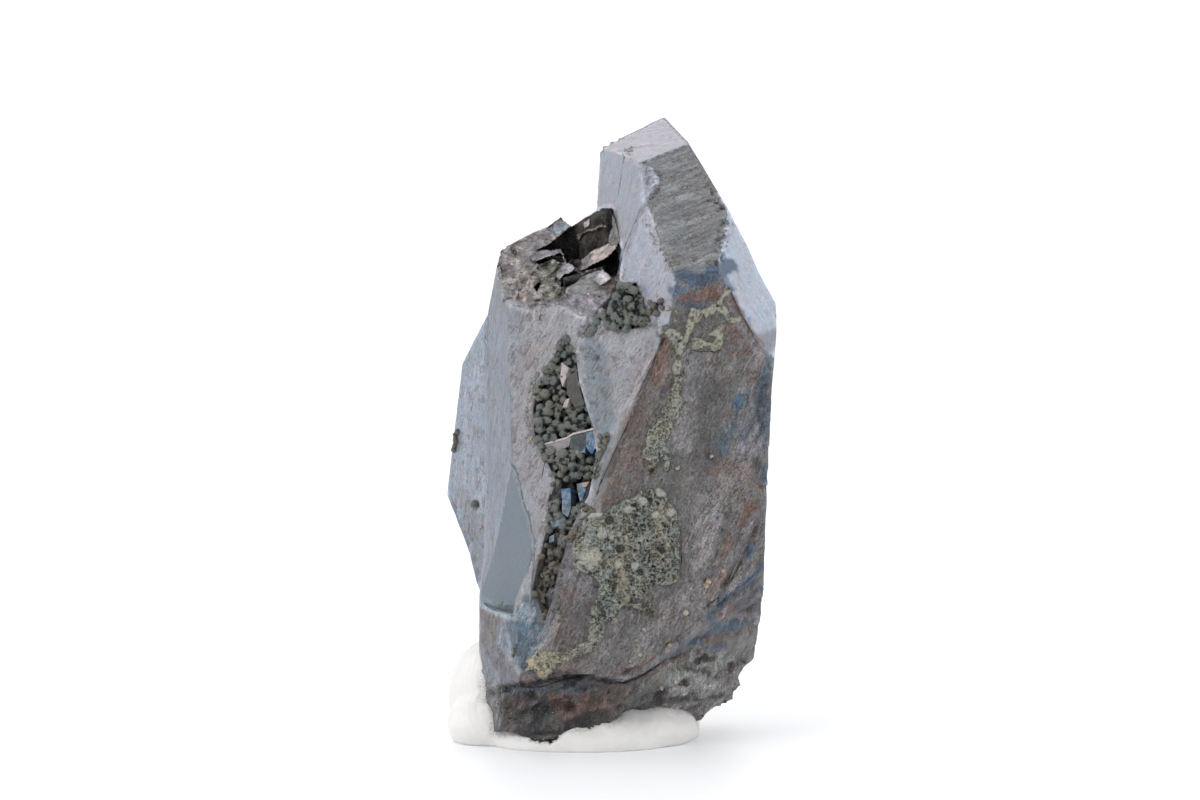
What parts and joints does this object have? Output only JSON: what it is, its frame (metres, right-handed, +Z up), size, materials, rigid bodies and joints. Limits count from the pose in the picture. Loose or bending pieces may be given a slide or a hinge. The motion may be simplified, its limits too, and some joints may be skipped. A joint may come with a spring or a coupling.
{
  "type": "ferberite crystal specimen",
  "caption": "Dark prismatic ferberite crystals grown together, with a slanted tip, a broken top and a crusted groove down the front, standing in a lump of white putty.",
  "frame": {"origin": "the middle of the footprint of the whole object, on the surface that the putty rests on", "axes": "+Z up along the crystals' length, -Y towards the side the picture shows, +X to the right as seen there"},
  "size_m": [0.0248, 0.0194, 0.0473],
  "materials": {
    "ferberite": "dark submetallic, striated, with brown and blue tarnish",
    "vug_crust": "dark olive globules, dull with small glints",
    "notch_crust": "dark olive globules, dull",
    "putty": "matt warm white with fingerprint ridges"
  },
  "bodies": {
    "root": {"ferberite_crystal": "ferberite", "vug_crust": "vug_crust", "notch_crust": "notch_crust", "mounting_putty": "putty"}
  },
  "joints": []
}
